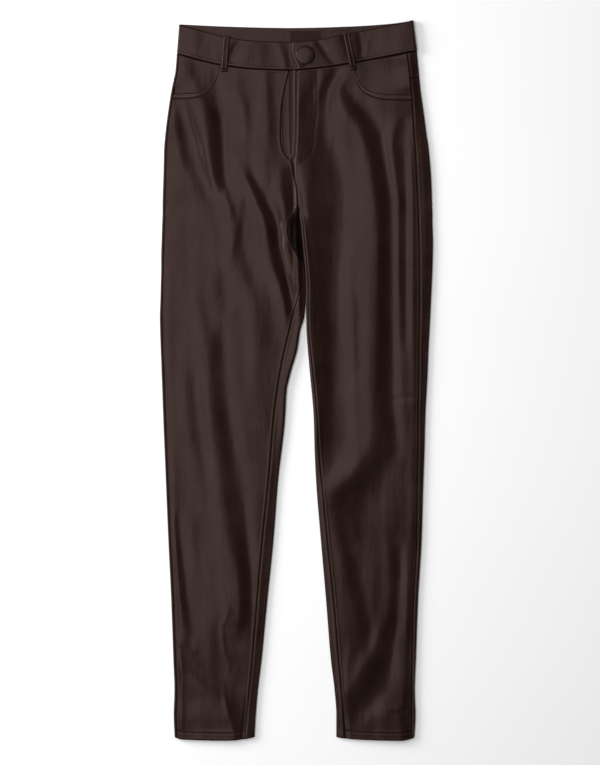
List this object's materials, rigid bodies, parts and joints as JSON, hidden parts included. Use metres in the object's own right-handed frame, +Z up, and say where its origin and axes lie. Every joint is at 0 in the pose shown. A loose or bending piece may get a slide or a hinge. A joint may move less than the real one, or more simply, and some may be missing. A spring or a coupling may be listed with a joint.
{
  "type": "faux leather leggings",
  "caption": "High-waisted skinny leggings in dark brown faux leather, laid flat on their back, with scooped front pockets, a fly and a lapped waistband with a covered button.",
  "frame": {"origin": "on the surface that the leggings lie on, under the middle of their outline", "axes": "+X towards the wearer's left side, +Y from the hems to the waist, +Z up from the surface, out of the front"},
  "size_m": [0.3796, 1, 0.0108],
  "materials": {
    "faux_leather": "semi-gloss, fine grain",
    "backing": "matte knit",
    "zip_coil": "satin",
    "woven_label": "matte woven"
  },
  "bodies": {
    "root": {"front_panel_right": "faux_leather", "front_panel_left": "faux_leather", "back_panel_right": "faux_leather", "back_panel_left": "faux_leather", "yoke_right": "faux_leather", "yoke_left": "faux_leather", "waistband": "faux_leather", "pocket_facing_right": "faux_leather", "pocket_facing_left": "faux_leather", "fly_shield": "backing", "zip": "zip_coil", "belt_loop_right": "faux_leather", "belt_loop_left": "faux_leather", "button": "faux_leather", "label": "woven_label"}
  },
  "joints": []
}
